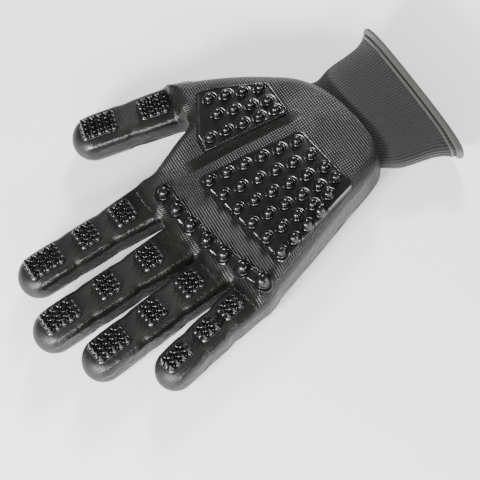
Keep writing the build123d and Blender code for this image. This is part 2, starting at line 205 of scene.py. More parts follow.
def finger_distance(line, x, y, z):
    across, along = line.local(x, y)
    share = np.clip(along / line.folds[1], 0, 1)
    half = line.root_half + (line.half - line.root_half) * share
    end = line.length - line.half
    # a finger of a worn-in glove swells between its folds and is pinched at them
    for fold in line.folds[1:]:
        half = half - FINGER_PINCH * np.exp(-(((along - fold) / 3.0) ** 2))
    past = np.clip(along - end, 0, None)
    before = np.clip(-7.0 - along, 0, None)
    plan = np.hypot(across, np.maximum(past, before)) - half
    tip = np.clip((along - (line.length - TIP_RUN)) / TIP_RUN, 0, 1)
    top = FINGER_TOP - TIP_DROP * tip**2.2
    bottom = TIP_LIFT * tip**2
    middle, high = (top + bottom) / 2, (top - bottom) / 2
    round_at = np.where(z > middle, FINGER_TOP_ROUND + 1.6 * tip, FINGER_BACK_ROUND)
    u = plan + round_at
    v = np.abs(z - middle) - high + round_at
    return np.minimum(np.maximum(u, v), 0) + np.hypot(np.maximum(u, 0), np.maximum(v, 0)) - round_at


def skin_field(x, y, z):
    palm = palm_distance(x, y, z)
    whole = palm
    for line in LINES:
        whole = np.minimum(whole, soft_min(finger_distance(line, x, y, z), palm, CROTCH_ROUND))
    return np.maximum(whole, -z)


def cast(field, low, high, step):
    """Casts a distance field as quads, one vertex in each grid cell that the surface crosses."""
    axes = [np.arange(a, b + step, step) for a, b in zip(low, high)]
    x, y, z = np.meshgrid(*axes, indexing="ij")
    f = field(x, y, z)
    corners = [(i, j, k) for i in (0, 1) for j in (0, 1) for k in (0, 1)]
    n = [s - 1 for s in f.shape]
    values = np.stack([f[i:i + n[0], j:j + n[1], k:k + n[2]] for i, j, k in corners], -1)
    crossed = (values.min(-1) < 0) & (values.max(-1) >= 0)
    cells = np.argwhere(crossed)
    values = values[crossed]
    total = np.zeros((len(cells), 3))
    count = np.zeros(len(cells))
    for a, first in enumerate(corners):
        for b, second in enumerate(corners):
            if b > a and sum(abs(p - q) for p, q in zip(first, second)) == 1:
                fa, fb = values[:, a], values[:, b]
                hit = (fa < 0) != (fb < 0)
                t = np.where(hit, fa / np.where(hit, fa - fb, 1), 0)[:, None]
                point = np.array(first) * (1 - t) + np.array(second) * t
                total += np.where(hit[:, None], point, 0)
                count += hit
    places = (cells + total / count[:, None]) * step + np.array([a[0] for a in axes])
    index = np.full(crossed.shape, -1)
    index[crossed] = np.arange(len(cells))
    quads = []
    for axis in range(3):
        turned = np.moveaxis(f, axis, 0)
        inner = np.moveaxis(index, axis, 0)
        change = (turned[:-1] < 0) != (turned[1:] < 0)
        i, j, k = np.nonzero(change[:, 1:-1, 1:-1])
        ring = np.stack([inner[i, j, k], inner[i, j + 1, k], inner[i, j + 1, k + 1], inner[i, j, k + 1]], 1)
        flip = (turned[:-1][:, 1:-1, 1:-1][i, j, k] < 0) != (axis == 1)
        ring[~flip] = ring[~flip][:, ::-1]
        quads.append(ring)
    quads = np.concatenate(quads)
    return places, quads[(quads >= 0).all(1)]


def field_normals(field, places, step=0.35):
    """Unit normals of a distance field at places."""
    slopes = []
    for axis in range(3):
        shift = np.zeros(3)
        shift[axis] = step
        ends = []
        for side in (shift, -shift):
            x, y, z = (places + side).T[:, :, None, None]
            ends.append(field(x, y, z)[:, 0, 0])
        slopes.append(ends[0] - ends[1])
    normals = np.stack(slopes, 1)
    return normals / np.maximum(np.linalg.norm(normals, axis=1, keepdims=True), 1e-9)


def make_piece(name, places, quads, normals=None, **layers):
    """A mesh object in metres from places in mm, with smooth normals and values kept at each vertex."""
    used, packed = np.unique(quads, return_inverse=True)
    packed = packed.reshape(quads.shape)
    mesh = bpy.data.meshes.new(name)
    mesh.from_pydata((places[used] * MM).tolist(), [], packed.tolist())
    mesh.update()
    mesh.shade_smooth()
    for key, values in layers.items():
        layer = mesh.attributes.new(key, "FLOAT_VECTOR", "POINT")
        layer.data.foreach_set("vector", values[used].astype(np.float32).ravel())
    if normals is not None:
        mesh.normals_split_custom_set_from_vertices(normals[used].tolist())
    piece = bpy.data.objects.new(name, mesh)
    bpy.context.scene.collection.objects.link(piece)
    return piece


def ripple(places, size, seed):
    """Soft noise from -1 to 1 at places, from a few crossed waves."""
    maker = np.random.default_rng(seed)
    total = np.zeros(len(places))
    for _ in range(7):
        wave = maker.normal(size=3)
        wave *= 2 * pi / (size * np.linalg.norm(wave) * maker.uniform(0.6, 1.6))
        total += np.sin(places @ wave + maker.uniform(0, 2 * pi))
    return total / 4


skin_low = [v / MM - 4 for v in cad_box[0]]
skin_high = [v / MM + 4 for v in cad_box[1]]
skin_low[1] = float(ZERO[1]) - 92
skin_high[2] = PALM_HEIGHT + 3
skin_places, skin_quads = cast(skin_field, skin_low, skin_high, SKIN_STEP)
skin_normals = field_normals(skin_field, skin_places)
centres = skin_places[skin_quads].mean(1)

# Values at each vertex. weave: wales round, courses along, and how far rubber smooths the knit over.
# finish: coat and gloss. folds: distance across the thumb's crease, and how strong it is there.
FINGER_CALM = 0.8
KNIT_ROUND = 46 * 1.4  # length of knit round a finger, which sets how many wales it has
hand_x, hand_y = skin_places[:, 0] - ZERO[0], skin_places[:, 1] - ZERO[1]
flat = np.zeros(len(skin_places))
weave = np.stack([hand_x + skin_places[:, 2], hand_y, flat], 1)
wander = ripple(skin_places, 16, 3)
coated = np.clip((skin_places[:, 2] - 6.5 - 1.4 * wander) / 0.9, 0, 1)
gloss = np.clip((0.78 - skin_normals[:, 2]) / 0.3, 0, 1) * np.clip((hand_y + 72) / 8, 0, 1)
(crease_x, crease_y), (crease_end_x, crease_end_y) = THUMB_CREASE
crease_run = (crease_y - hand_y) / (crease_y - crease_end_y)
crease_off = hand_x - crease_x - (crease_end_x - crease_x) * crease_run
crease_fade = np.clip((0.5 - np.abs(crease_run - 0.45)) * 8, 0, 1)
owner = np.full(len(skin_quads), -1)
stage = np.zeros(len(skin_quads), int)
bends = {}
for number, line in enumerate(LINES):
    across, along = line.local(skin_places[:, 0], skin_places[:, 1])
    is_finger = (np.abs(across) < line.root_half + 2.5) & (along > 0)
    if line.name == "thumb":
        is_finger &= along > 1
    around = np.arctan2(across, skin_places[:, 2] - FOLD / 2) * KNIT_ROUND / (2 * pi)
    weave[is_finger] = np.stack([around, along + 60 * number, flat + FINGER_CALM], 1)[is_finger]
    dipped = np.clip((along - line.folds[-1] - 4 - 1.5 * wander) / 0.9, 0, 1)
    coated = np.where(is_finger, np.maximum(coated, dipped), coated)
    side = np.clip((np.abs(across) - line.half * 0.6) / 3, 0.2, 1)
    near_root = np.exp(-(((along - 2) / 6) ** 2))
    beside_root = near_root * (np.abs(across) < line.half) * (along > -8)
    gloss = np.where(is_finger, np.clip(side + near_root, 0, 1), np.maximum(gloss, beside_root))
    start = 2.0 if line.name != "thumb" else 3.5
    joints = []
    for part, fold in enumerate(line.folds):
        first = start + 1.2 if part == 0 else line.pads[part - 1][1] + 0.2
        last = min(fold + TIP_SPAN, line.pads[part][1] - 3.5)
        joints.append((first, max(last, first + 5)))
    bends[line.name] = joints
    across, along = line.local(centres[:, 0], centres[:, 1])
    mine = (np.abs(across) < line.root_half + 2.0) & (along > start) & (owner < 0)
    owner[mine] = number
    for part, (_, last) in enumerate(joints[:-1]):
        cut = (last + joints[part + 1][0]) / 2
        stage[mine & (along > cut)] = part + 1
finish = np.stack([coated, gloss, flat], 1)
folds = np.stack([crease_off, crease_fade, flat], 1)


class Tone:
    """A shader socket that ordinary arithmetic works on."""

    def __init__(self, maker, socket):
        self.maker, self.socket = maker, socket

    def math(self, operation, first, second=0.0):
        return self.maker.node("Math", {"operation": operation}, {0: first, 1: second})

    def __add__(self, other):
        return self.math("ADD", self, other)

    def __sub__(self, other):
        return self.math("SUBTRACT", self, other)

    def __rsub__(self, other):
        return self.math("SUBTRACT", other, self)

    def __mul__(self, other):
        return self.math("MULTIPLY", self, other)

    def __pow__(self, other):
        return self.math("POWER", self, other)

    __radd__, __rmul__ = __add__, __mul__


class Finish:
    """A material whose nodes are made by one method."""

    def __init__(self, name):
        self.material = bpy.data.materials.new(name)
        self.material.use_nodes = True
        self.tree = self.material.node_tree
        self.shader = self.tree.nodes["Principled BSDF"]

    def node(self, kind, settings=None, sockets=None, output=0):
        """One node, as the output asked for, or as all its outputs when output is None."""
        made = self.tree.nodes.new("ShaderNode" + kind)
        for key, value in (settings or {}).items():
            setattr(made, key, value)
        for key, value in (sockets or {}).items():
            self.feed(made.inputs[key], value)
        if output is None:
            return [Tone(self, socket) for socket in made.outputs]
        return Tone(self, made.outputs[output])

    def feed(self, socket, value):
        if isinstance(value, Tone):
            self.tree.links.new(value.socket, socket)
        else:
            socket.default_value = value

    def set(self, **values):
        """Sets the surface's sockets; an underscore in a name stands for a space."""
        for key, value in values.items():
            self.feed(self.shader.inputs[key.replace("_", " ")], value)

    def layer(self, name):
        """The three values kept at each vertex under a name."""
        vector = self.node("Attribute", {"attribute_name": name}, output="Vector")
        return self.node("SeparateXYZ", None, {0: vector}, output=None)

    def noise(self, vector, scale, detail=3.0, rough=0.55):
        return self.node("TexNoise", None,
                         {"Vector": vector, "Scale": scale, "Detail": detail, "Roughness": rough})

    def between(self, value, low, high):
        """0 below low, 1 above high."""
        return self.node("MapRange", {"interpolation_type": "SMOOTHSTEP"},
                         {"Value": value, "From Min": low, "From Max": high})

    def mix(self, share, first, second):
        def colour(c):
            return c if isinstance(c, Tone) else (*c, 1)
        return self.node("Mix", {"data_type": "RGBA"}, {0: share, 6: colour(first), 7: colour(second)}, 2)

    def ribs(self, value, pitch):
        """Rounded ridges of height 1 with sharp valleys between them."""
        wave = self.node("Math", {"operation": "SINE"}, {0: value * (pi / pitch)})
        return self.node("Math", {"operation": "ABSOLUTE"}, {0: wave})

    def bump(self, height, distance, strength=1.0):
        return self.node("Bump", None, {"Height": height, "Distance": distance, "Strength": strength})


def skin_finish():
    """Nylon knit, bare on the back, and filled with semi-gloss rubber on the palm side."""
    f = Finish("dipped knit")
    wale, course, calm = f.layer("weave")
    coat, gloss, _ = f.layer("finish")
    crease, fade, _ = f.layer("folds")
    where = f.node("TexCoord", output="Object")
    wales, courses = f.ribs(wale, 1.45), f.ribs(course, 1.3)
    patch = f.between(f.noise(where, 42.0, 2.0), 0.38, 0.62)
    cross = f.between(f.noise(where, 22.0, 1.0), 0.36, 0.52)
    mesh = wales * cross * 0.5 + courses * (1 - 0.5 * cross)
    fine = f.noise(where, 2600.0, 2.0, 0.6)
    wrinkle = f.noise(where, 330.0, 3.0, 0.5)
    covered = 1 - (1 - coat * gloss * 0.85) * (1 - coat * calm * 0.8)
    folds = f.ribs(crease, 1.3)
    folded = fade * (1 - f.between(f.node("Math", {"operation": "ABSOLUTE"}, {0: crease}), 2.8, 4.2))
    relief = mesh * (1 - covered) * (1 - 0.3 * coat * patch) * (1 - folded)
    relief = relief + fine * 0.1 + wrinkle * gloss * coat * 1.3 + folds * folded * 0.9
    open_knit = 1 - coat
    # painted shade: the knit's valleys between its ridges are darkened toward near black, most where the
    # knit is bare
    knit_valley_shade = (1 - mesh) * (open_knit * 0.5 + (1 - covered) * 0.5)
    tone = f.noise(where, 60.0, 4.0)
    rubber = f.mix(tone, (0.0045, 0.0045, 0.0042), (0.012, 0.0117, 0.0105))
    knit = f.mix(tone, (0.011, 0.0105, 0.0095), (0.022, 0.021, 0.019))
    base = f.mix(coat, knit, rubber)
    dipped = 0.40 - 0.20 * gloss + 0.10 * tone + 0.12 * calm * (1 - gloss) - folded * 0.16
    f.set(
        Base_Color=f.mix(knit_valley_shade, base, (0.002, 0.002, 0.002)),
        Roughness=0.88 * open_knit + coat * dipped,
        Normal=f.bump(relief, 0.00042, 0.9),
        Specular_IOR_Level=0.42,
    )
    return f.material


SKIN = skin_finish()


def part_skin(name, chosen, nodes, body=None):
    """The skin's quads that belong to one stiff part: it rides a body, or is left where it lies."""
    piece = make_piece(name, skin_places, skin_quads[chosen], skin_normals,
                       weave=weave, finish=finish, folds=folds)
    piece.data.materials.append(SKIN)
    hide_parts(*nodes)
    if body:
        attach(piece, body)
    else:
        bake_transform(piece)
    return piece


# the skin is open at the wrist, where the hand goes in
wrist_hole = (centres[:, 1] < ZERO[1] - 79.5) & (np.abs(centres[:, 2] - 11.4) < 5.6)
wrist_hole &= np.abs(centres[:, 0] - ZERO[0] - 30) < 27.5
part_skin("palm_skin", (owner < 0) & ~wrist_hole, ["palm_liner", "palm_coat"], body="palm")
for number, line in enumerate(LINES):
    for part, label in enumerate(PARTS[line.name]):
        body = f"{line.name}_{label}"
        first, last = bends[line.name][part]
        ends = [tuple(line.place(along) * MM) for along in (first, last)]
        part_skin(f"{body}_skin", (owner == number) & (stage == part), [f"{body}_liner", f"{body}_coat"])

# ---------------------------------------------------------------- Spiked pads
# Each finger part carries a rounded rubber plate with rows of pointed spikes, moulded onto the coat.

SPIKE_ROWS = {"base": (3, 4), "middle": (3, 4), "tip": (5, 4)}
OTHER_ROWS = {"little_base": (3, 3), "little_middle": (3, 3), "little_tip": (4, 3), "thumb_base": (4, 4)}
SPIKE_PITCH = (3.9, 3.1)
SPIKE_TALL = 4.1
SPIKE_FOOT = 1.42  # radius
SPIKE_FILLET = 1.2
PLATE_THICK = 0.9
PLATE_CORNER = 2.2
PLATE_EDGE = 0.35  # rounding of the plate's rim
PLATE_STEP = 0.34  # spacing of the casting grid


def spike_field(rows, length, width):
    """Plate with spikes, in the finger's own along, across and up."""
    def field(s, t, z):
        u, v = np.abs(s) - length / 2 + PLATE_CORNER, np.abs(t) - width / 2 + PLATE_CORNER
        plan = np.hypot(np.maximum(u, 0), np.maximum(v, 0)) + np.minimum(np.maximum(u, v), 0) - PLATE_CORNER
        rim = np.exp(-((plan + 0.9) / 0.45) ** 2) * 0.22
        top = FINGER_TOP + PLATE_THICK + rim
        p, q = plan + PLATE_EDGE, np.abs(z - top / 2 - 4) - (top / 2 - 4) + PLATE_EDGE
        plate = np.minimum(np.maximum(p, q), 0) + np.hypot(np.maximum(p, 0), np.maximum(q, 0)) - PLATE_EDGE
        ds = s - np.round(np.clip(s / SPIKE_PITCH[0] + (rows[0] - 1) / 2, 0, rows[0] - 1)) * SPIKE_PITCH[0]
        ds = ds + (rows[0] - 1) / 2 * SPIKE_PITCH[0]
        dt = t - np.round(np.clip(t / SPIKE_PITCH[1] + (rows[1] - 1) / 2, 0, rows[1] - 1)) * SPIKE_PITCH[1]
        dt = dt + (rows[1] - 1) / 2 * SPIKE_PITCH[1]
        r = np.hypot(ds, dt)
        h = z - (FINGER_TOP + PLATE_THICK)
        cone = (r - SPIKE_FOOT * np.clip(1 - h / (SPIKE_TALL + 0.5), 0.02, 1.1) ** 0.92) * 0.93
        cone = np.maximum(cone, h - SPIKE_TALL)
        return soft_min(plate, cone, SPIKE_FILLET)
    return field


def pad_rubber(name, grain):
    """Moulded solid rubber: near black and glossy, a little dusty and uneven."""
    f = Finish(name)
    where = f.node("TexCoord", output="Object")
    cloud = f.noise(where, 130.0, 4.0)
    speck = f.noise(where, 1900.0, 2.0, 0.6)
    f.set(
        Base_Color=f.mix(cloud, (0.0025, 0.0025, 0.0025), (0.008, 0.008, 0.0075)),
        Roughness=0.15 + 0.14 * cloud + 0.04 * speck,
        Normal=f.bump(speck + cloud * 2, grain, 0.5),
        Specular_IOR_Level=0.6,
    )
    return f.material


PAD_RUBBER = pad_rubber("moulded rubber", 0.00006)
for line in LINES:
    for part, label in enumerate(PARTS[line.name]):
        body = f"{line.name}_{label}"
        rows = OTHER_ROWS.get(body, SPIKE_ROWS[label])
        low, high = line.pads[part]
        length, width = high - low, (rows[1] - 1) * SPIKE_PITCH[1] + 4.2
        middle = (low + high) / 2
        field = spike_field(rows, length, width)
        corner = np.array([length / 2 + 1, width / 2 + 1])
        local, quads = cast(field, (*-corner, FOLD - 3), (*corner, FOLD + 6), PLATE_STEP)
        normals = field_normals(field, local, 0.12)
        turn = np.array([[*line.direction, 0], [*line.across, 0], [0, 0, 1]])
        places = local @ turn + line.place(middle)
        piece = make_piece(f"{body}_spikes", places, quads[:, ::-1], normals @ turn)
        piece.data.materials.append(PAD_RUBBER)
        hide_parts(f"{body}_pad")
        first, last = bends[line.name][part]
        [tuple(line.place(along) * MM) for along in (first, last)]
        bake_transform(piece)

# ---------------------------------------------------------------- Pads with round nubs
# The palm, the thumb's heel and the knuckles carry moulded plates with domed nubs, each standing in a
# shallow ring. The plates have a fine raised rim and follow the curve of the palm.

PALM_OUTLINE = [(38.2, 2.6), (31.8, -56.2), (-10.6, -61.4), (-28.9, -9.0)]
PALM_ROWS = [6, 6, 6, 6, 5, 4]
HEEL_OUTLINE = [(84.0, -22.0), (80.5, -33.0), (67.5, -57.0), (44.6, -57.0), (49.4, -8.5), (60.0, -9.5)]
# count, first nub and step of each row
HEEL_ROWS = [
    (4, (76.0, -26.0), (-3.2, -8.4)),
    (4, (65.0, -25.0), (-2.7, -8.5)),
    (5, (54.8, -15.0), (-1.3, -9.0)),
]


def lerp(a, b, share):
    """A place part of the way from a to b."""
    return tuple(p + (q - p) * share for p, q in zip(a, b))


def nub_rows():
    """Nub places on the palm, row by row from the thumb's side."""
    places = []
    for row, count in enumerate(PALM_ROWS):
        share = row / (len(PALM_ROWS) - 1)
        start = lerp((33.0, -2.5), (-23.5, -12.0), share)
        step = lerp((-1.3, -9.6), (2.6, -9.2), share**3)
        places += [(start[0] + step[0] * n, start[1] + step[1] * n) for n in range(count)]
    return places


def heel_nubs():
    """Nub places on the thumb's heel."""
    return [(a[0] + d[0] * n, a[1] + d[1] * n) for count, a, d in HEEL_ROWS for n in range(count)]


def rounded(points, radius):
    """A polygon's outline with every corner rounded, as dense places."""
    out = []
    p = np.array(points, float)
    for before, corner, after in zip(np.roll(p, 1, 0), p, np.roll(p, -1, 0)):
        a, b = before - corner, after - corner
        a, b = a / np.linalg.norm(a), b / np.linalg.norm(b)
        reach = radius / np.tan(np.arccos(np.clip(a @ b, -1, 1)) / 2)
        for t in np.linspace(0, 1, 7):
            out.append(corner + a * reach * (1 - t) ** 2 + b * reach * t**2)
    return np.array(out)


def nub_plate(name, node, plan_distance, nubs, step, box, tall, radius, rim, dish=0.0):
    """Casts one plate with its nubs, in a box of the hand's plan. Heights are from the palm's skin."""
    def field(x, y, z):
        px, py = x - ZERO[0], y - ZERO[1]
        plan = plan_distance(px[:, :, 0], py[:, :, 0])[:, :, None]
        base = palm_height(px, py)
        edge = outline_distance(HAND_LOOP, px[:, :, 0], py[:, :, 0])[:, :, None]
        d = np.clip(PALM_ROUND + edge, 0, PALM_ROUND)
        base = base - PALM_ROUND + np.sqrt(PALM_ROUND**2 - np.minimum(d, PALM_ROUND - 0.01) ** 2)
        h = z - base
        best = np.full(h.shape, 1e9)
        for nx, ny in nubs:
            best = np.minimum(best, np.hypot(px - nx, py - ny)[:, :, :1] + 0 * h)
        ridge = np.exp(-((plan + 1.1) / 0.5) ** 2) * rim
        ring = -np.exp(-((best - radius - 0.75) / 0.35) ** 2) * 0.28
        collar = np.exp(-((best - radius - 1.35) / 0.4) ** 2) * 0.22
        bowl = dish * (0.5 - np.clip(1 - ((plan + 3.9) / 3.9) ** 2, 0, 1))
        top = PLATE_THICK + ridge + ring + collar + bowl
        p, q = plan + 0.4, h - top + 0.4
        plate = np.minimum(np.maximum(p, q), 0) + np.hypot(np.maximum(p, 0), np.maximum(q, 0)) - 0.4
        plate = np.maximum(plate, -(h + 1.6))
        k = np.clip((h - PLATE_THICK) / (tall - 0.2), 0, 1)
        post_radius = radius * (1.04 - 0.1 * k)
        dome_centre = PLATE_THICK + tall - radius * 0.95
        dome = np.hypot(best, np.maximum(h - dome_centre, 0)) - post_radius * 0.97
        dome = np.maximum(dome, -(h + 0.5))
        return soft_min(plate, dome, 0.45)
    low = (box[0] + ZERO[0], box[1] + ZERO[1], box[2])
    high = (box[3] + ZERO[0], box[4] + ZERO[1], box[5])
    places, quads = cast(field, low, high, step)
    piece = make_piece(name, places, quads, field_normals(field, places, 0.15))
    piece.data.materials.append(PAD_RUBBER)
    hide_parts(node)
    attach(piece, "palm")
    return piece


palm_loop, heel_loop = rounded(PALM_OUTLINE, 3.2), rounded(HEEL_OUTLINE, 3.2)
nub_plate("palm_nubs", "palm_pad", lambda x, y: outline_distance(palm_loop, x, y), nub_rows(),
          step=0.5, box=(-31, -64, 16, 41, 5, 32), tall=3.9, radius=2.45, rim=0.35)
nub_plate("heel_nubs", "thumb_heel_pad", lambda x, y: outline_distance(heel_loop, x, y), heel_nubs(),
          step=0.5, box=(42, -60, 18, 87, -6, 32), tall=3.9, radius=2.45, rim=0.35)

STRIP_NUBS = 7
STRIP_HALF = 3.9  # half the band's width between nubs
SCALLOP = 4.9  # radius round a nub


def strip_place(share):
    """A place along the knuckle strip's bowed middle line."""
    x, y = lerp((42.0, 20.5), (-31.0, 3.0), share)
    return x, y + 3.4 * 4 * share * (1 - share)


strip_line = np.array([strip_place(t) for t in np.linspace(0, 1, 25)])
strip_nubs = [strip_place(n / (STRIP_NUBS - 1)) for n in range(STRIP_NUBS)]


def strip_distance(x, y):
    """The strip's plan: a band with a scallop round each nub."""
    best = np.full(x.shape, 1e9)
    for (ax, ay), (bx, by) in zip(strip_line, strip_line[1:]):
        ex, ey = bx - ax, by - ay
        t = np.clip(((x - ax) * ex + (y - ay) * ey) / (ex * ex + ey * ey), 0, 1)
        best = np.minimum(best, np.hypot(x - ax - t * ex, y - ay - t * ey))
    band = best - STRIP_HALF
    for nx, ny in strip_nubs:
        band = soft_min(band, np.hypot(x - nx, y - ny) - SCALLOP, 1.0)
    return band


nub_plate("knuckle_domes", "knuckle_strip", strip_distance, strip_nubs,
          step=0.45, box=(-38, -4, 14, 49, 28, 29), tall=4.0, radius=3.1, rim=0.3, dish=1.0)

# ---------------------------------------------------------------- Cuff
# A tube of rib knit that grips the wrist and flares to the hem. Its wales fan out along the cuff, and
# elastic yarn is laid into every few courses. It grows out of the hand's knit under the coat's edge.

CUFF_AROUND = 260
CUFF_WALL = 1.5
CUFF_WALES = 96  # ribs round the cuff
HAND_ZERO = np.array([ZERO[1], ZERO[0], 0, 0, 0])  # what moves a row below from the hand's plan into place
# (y, centre x, width, height, middle's height) in the hand's plan, from inside the wrist to the hem
CUFF_ROWS = [
    (-72.0, 30.5, 66.0, 17.0, 12.2),
    (-80.5, 30.0, 63.0, 16.0, 11.15),
    (-90.0, 28.0, 72.0, 18.5, 11.9),
    (-106.0, 27.0, 78.0, 20.0, 11.8),
    (-113.0, 26.6, 84.5, 21.0, 11.95),
    (-118.0, 26.5, 92.0, 22.0, 12.15),
]


def smooth_path(points, count):
    """Places along a curve through rows of numbers, evenly by share."""
    p = np.vstack([2 * points[0] - points[1], points, 2 * points[-1] - points[-2]])
    out = []
    for u in np.linspace(0, len(points) - 1 - 1e-9, count):
        i, t = int(u), u - int(u)
        a, b, c, d = p[i:i + 4]
        out.append(0.5 * (2 * b + (c - a) * t + (2 * a - 5 * b + 4 * c - d) * t**2
                          + (3 * b - a - 3 * c + d) * t**3))
    return np.array(out)


def cuff_ring(row, inset, angles):
    """A flattened ring of places round the cuff's axis."""
    y, centre, width, height, middle = row
    a, b = width / 2 - inset, height / 2 - inset
    power = 2 / 2.7
    c, s = np.cos(angles), np.sin(angles)
    x = centre + a * np.sign(c) * np.abs(c) ** power
    z = middle + b * np.sign(s) * np.abs(s) ** power
    return np.stack([x, np.full_like(x, y), z], 1)


def tube_quads(rows, around, closed=False):
    """Quads of a grid of rings, each ring closed."""
    quads = []
    last = rows if closed else rows - 1
    for r in range(last):
        for a in range(around):
            b = (a + 1) % around
            after = (r + 1) % rows * around
            quads.append((r * around + a, r * around + b, after + b, after + a))
    return np.array(quads)


stations = np.array(CUFF_ROWS) + HAND_ZERO
cuff_rows = smooth_path(stations, 70)


def cuff_row(y):
    """The cuff's section at a place along it, in the hand's plan."""
    return np.array([np.interp(-(y + ZERO[1]), -cuff_rows[:, 0], column) for column in cuff_rows.T])


angles = np.linspace(0, 2 * pi, CUFF_AROUND, endpoint=False) - pi / 2
run = np.concatenate([[0], np.cumsum(np.hypot(np.diff(cuff_rows[:, 0]), np.diff(cuff_rows[:, 2]) / 2))])


def cuff_finish():
    """Rib knit: bold wales along the cuff, crossed by fainter courses, in dark nylon."""
    f = Finish("rib knit")
    wale, course, _ = f.layer("weave")
    where = f.node("TexCoord", output="Object")
    wales, courses = f.ribs(wale, 1.0), f.ribs(course, 1.35)
    fuzz = f.noise(where, 2200.0, 3.0, 0.65)
    tone = f.noise(where, 70.0, 3.0)
    relief = wales * 0.8 + courses * 0.3 + fuzz * 0.2
    base = f.mix(tone, (0.0050, 0.0047, 0.0040), (0.0105, 0.0097, 0.0082))
    f.set(
        # painted shade: the valleys between the wales are darkened toward near black, most across the
        # course ridges
        Base_Color=f.mix((1 - wales) * (0.7 + 0.9 * courses), base, (0.0025, 0.0025, 0.0022)),
        Roughness=0.82 + 0.1 * fuzz,
        Normal=f.bump(relief, 0.0006, 0.9),
        Sheen_Weight=0.1,
        Sheen_Roughness=0.5,
    )
    return f.material


CUFF_KNIT = cuff_finish()


def ring_share(ring):
    """How far round a ring each of its places is, as a share of its length."""
    steps = np.linalg.norm(np.roll(ring, -1, 0) - ring, axis=1)
    return np.concatenate([[0], np.cumsum(steps)[:-1]]) / steps.sum()


def cuff_wall():
    """The rib's outer and inner faces as one closed band."""
    rings, values = [], []
    order = list(range(len(cuff_rows))) + list(range(len(cuff_rows) - 1, -1, -1))
    for step, i in enumerate(order):
        inset = 0.0 if step < len(cuff_rows) else CUFF_WALL
        wave = 0.25 * np.sin(angles * 5 + 1.0 + i * 0.03) + 0.18 * np.sin(angles * 9 + 2 - i * 0.05)
        ring = cuff_ring(cuff_rows[i], inset, angles)
        ring[:, 2] += wave * np.sin(angles) ** 2 * min(1, i / 30)
        rings.append(ring)
        share = ring_share(ring)
        along, depth = np.full_like(share, run[i]), np.full_like(share, inset)
        values.append(np.stack([share * CUFF_WALES, along, depth], 1))
    return np.concatenate(rings), tube_quads(len(order), CUFF_AROUND, closed=True), np.concatenate(values)


cuff_places, cuff_quads, cuff_values = cuff_wall()
cuff = make_piece("cuff_knit", cuff_places, cuff_quads, weave=cuff_values)
cuff.data.materials.append(CUFF_KNIT)
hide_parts("cuff_rib")
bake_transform(cuff)

# ---------------------------------------------------------------- Hem
# The cuff's open edge is turned and overlocked: a fat roll of yarn with a smaller ridge before it, both
# wrapped by close slanting stitches.


def hem_finish():
    """Overlocking yarn in close slanting stitches, a little paler than the rib."""
    f = Finish("overlock yarn")
    turn, along, _ = f.layer("weave")
    where = f.node("TexCoord", output="Object")
    stitches = f.ribs(along + turn * 0.35, 1.0)
    fuzz = f.noise(where, 2600.0, 3.0, 0.65)
    base = f.mix(fuzz, (0.028, 0.0265, 0.024), (0.050, 0.047, 0.043))
    f.set(
        # painted shade: the grooves between the stitches are darkened
        Base_Color=f.mix((1 - stitches) ** 2.0 * 0.55, base, (0.02, 0.02, 0.018)),
        Roughness=0.85,
        Normal=f.bump(stitches * 0.7 + fuzz * 0.3, 0.0003, 0.7),
        Sheen_Weight=0.3,
    )
    return f.material


ROLL_SIDES = 20  # places round a roll of yarn
HEM_STITCHES = 190 * 2


def hem_roll(row, radius, swell):
    """A roll of yarn round the cuff at one section, swell outside the middle of its wall."""
    rim = cuff_ring(row, CUFF_WALL / 2 - swell, angles)
    tangent = np.roll(rim, -1, 0) - np.roll(rim, 1, 0)
    tangent /= np.linalg.norm(tangent, axis=1, keepdims=True)
    up = np.array([0, 1.0, 0])
    out = np.cross(tangent, up)
    places, values = [], []
    for n, (centre, side) in enumerate(zip(rim, out)):
        for k in range(ROLL_SIDES):
            t = 2 * pi * k / ROLL_SIDES
            places.append(centre + radius * (side * cos(t) + up * sin(t) * 0.95))
            values.append((k / ROLL_SIDES * 6, n / CUFF_AROUND * HEM_STITCHES, 0))
    return np.array(places), tube_quads(CUFF_AROUND, ROLL_SIDES, closed=True), np.array(values)


HEM_YARN = hem_finish()
HEM_ROLL = (-118.0, 1.85, 0.0)  # place along the cuff, radius and swell
HEM_RIDGE = (-114.7, 0.8, 0.55)


def joined_rolls(sizes):
    """Several rolls as one: places, quads and weave values."""
    rolls = [hem_roll(cuff_row(y), radius, swell) for y, radius, swell in sizes]
    starts = np.cumsum([0] + [len(places) for places, _, _ in rolls])
    quads = [quads + start for (_, quads, _), start in zip(rolls, starts)]
    places, values = [r[0] for r in rolls], [r[2] for r in rolls]
    return np.concatenate(places), np.concatenate(quads), np.concatenate(values)


hem_places, hem_quads, hem_values = joined_rolls([HEM_ROLL, HEM_RIDGE])
hem = make_piece("hem_roll", hem_places, hem_quads, weave=hem_values)
hem.data.materials.append(HEM_YARN)
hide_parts("cuff_hem")
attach(hem, "cuff")

# ---------------------------------------------------------------- Elastic and lining
# Covered elastic threads lie inside the rib. Behind them the hand's bare knit lines the opening.


def elastic_finish():
    """Rubber thread wrapped in fine yarn."""
    f = Finish("covered elastic")
    where = f.node("TexCoord", output="Object")
    x, _, z = f.node("SeparateXYZ", None, {0: where}, output=None)
    wraps = f.ribs(x + z, 0.0007)
    fuzz = f.noise(where, 1800.0, 2.0)
    f.set(
        Base_Color=f.mix(fuzz, (0.035, 0.033, 0.031), (0.075, 0.071, 0.066)),
        Roughness=0.7 + 0.15 * fuzz,
        Normal=f.bump(wraps, 0.0002, 0.6),
    )
    return f.material


